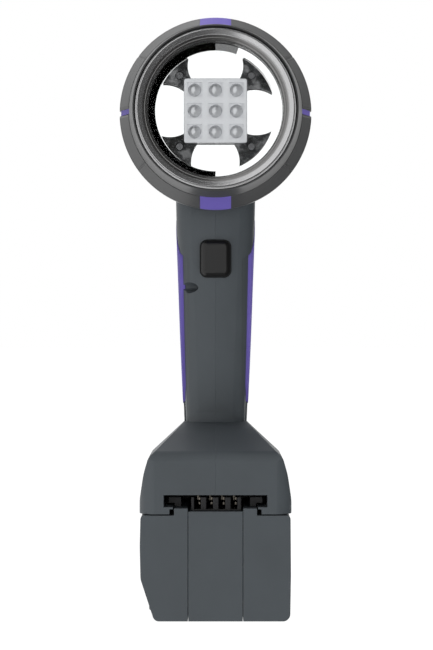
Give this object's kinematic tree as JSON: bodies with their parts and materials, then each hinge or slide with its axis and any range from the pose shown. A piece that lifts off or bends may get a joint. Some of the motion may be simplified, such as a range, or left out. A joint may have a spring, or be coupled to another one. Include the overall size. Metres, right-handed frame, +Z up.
{
  "type": "uv curing lamp",
  "caption": "Cordless hand-held UV curing lamp: a round lamp head with a square LED lens plate on an upright grip with a push trigger, standing on a slide-on battery pack.",
  "frame": {"origin": "middle of the battery pack's flat base, on the lamp's mid-plane", "axes": "+Z up along the grip, the light shines along -Y, +X to the right of someone facing the light"},
  "size_m": [0.1004, 0.1194, 0.312],
  "materials": {
    "housing_plastic": "fine textured, charcoal",
    "pack_plastic": "fine textured, charcoal",
    "bezel_plastic": "satin, dark grey",
    "accent_plastic": "satin, violet",
    "grip_rubber": "soft touch, violet",
    "trim_metal": "satin, dark",
    "clear_glass": "clear, polished",
    "seal_rubber": "matt black",
    "reflector_mirror": "polished",
    "clamp_plastic": "glossy, mottled black",
    "lens_clear": "clear moulded optic, frosted between the domes",
    "board": "solder mask",
    "emitter": "clear window over a chip",
    "sink_aluminium": "extruded, anodised",
    "fan_plastic": "black",
    "screw_steel": "blackened zinc",
    "spring_steel": "bright wire",
    "trigger_plastic": "satin black",
    "switch_plastic": "black",
    "component": "dark epoxy",
    "wire_cover": "insulated lead",
    "contact_brass": "plated",
    "rail_plastic": "black",
    "cell_wrap": "shrink wrap",
    "holder_plastic": "black",
    "latch_plastic": "satin black",
    "light_pipe": "clear"
  },
  "bodies": {
    "housing": {"housing_left": "housing_plastic", "housing_right": "housing_plastic", "housing_screws": "screw_steel", "grip_left": "grip_rubber", "grip_right": "grip_rubber", "bezel_ring": "bezel_plastic", "accent_ring": "accent_plastic", "trim_ring": "trim_metal", "front_glass": "clear_glass", "glass_seal": "seal_rubber", "reflector": "reflector_mirror", "lens_clamp": "clamp_plastic", "clamp_screws": "screw_steel", "lens_array": "lens_clear", "led_board": "board", "led_emitters": "emitter", "heat_sink": "sink_aluminium", "fan_frame": "fan_plastic", "fan_screws": "screw_steel", "rear_cover": "housing_plastic", "rear_cover_screws": "screw_steel", "trigger_spring": "spring_steel", "switch_body": "switch_plastic", "driver_board": "board", "driver_components": "component", "battery_leads": "wire_cover", "led_leads": "wire_cover", "fan_lead": "wire_cover", "terminal_block": "switch_plastic", "terminal_blades": "contact_brass"},
    "fan": {"fan_rotor": "fan_plastic"},
    "trigger": {"trigger": "trigger_plastic", "switch_plunger": "switch_plastic"},
    "pack": {"pack_left_cover": "pack_plastic", "pack_middle_shell": "pack_plastic", "pack_right_cover": "pack_plastic", "pack_rail": "rail_plastic", "pack_terminal_block": "rail_plastic", "pack_contacts": "contact_brass", "cells": "cell_wrap", "cell_holder_left": "holder_plastic", "cell_holder_right": "holder_plastic", "cell_straps": "spring_steel", "bms_board": "board", "gauge_board": "board", "pack_screws": "screw_steel", "latch_spring": "spring_steel", "charge_lights": "light_pipe"},
    "latch": {"release_latch": "latch_plastic"},
    "charge_key": {"charge_button": "latch_plastic"}
  },
  "joints": [
    {"name": "fan_spin", "type": "hinge", "parent": "housing", "child": "fan", "pos_m": [0, 0.005, 0.2618], "axis": [0, 1, 0], "continuous": true},
    {"name": "trigger_press", "type": "slide", "parent": "housing", "child": "trigger", "axis": [0, 1, 0], "range_m": [0, 0.0025], "stiffness_N_per_m": 600, "springref_m": -0.004, "deforming": ["trigger_spring"]},
    {"name": "pack_slide", "type": "slide", "parent": "housing", "child": "pack", "axis": [0, 1, 0], "range_m": [0, 0.12]},
    {"name": "latch_press", "type": "slide", "parent": "pack", "child": "latch", "axis": [0, 0, -1], "range_m": [0, 0.003], "stiffness_N_per_m": 1200, "springref_m": -0.002, "deforming": ["latch_spring"]},
    {"name": "charge_press", "type": "slide", "parent": "pack", "child": "charge_key", "axis": [0, -1, 0], "range_m": [0, 0.0008], "stiffness_N_per_m": 1500, "springref_m": -0.0006}
  ]
}
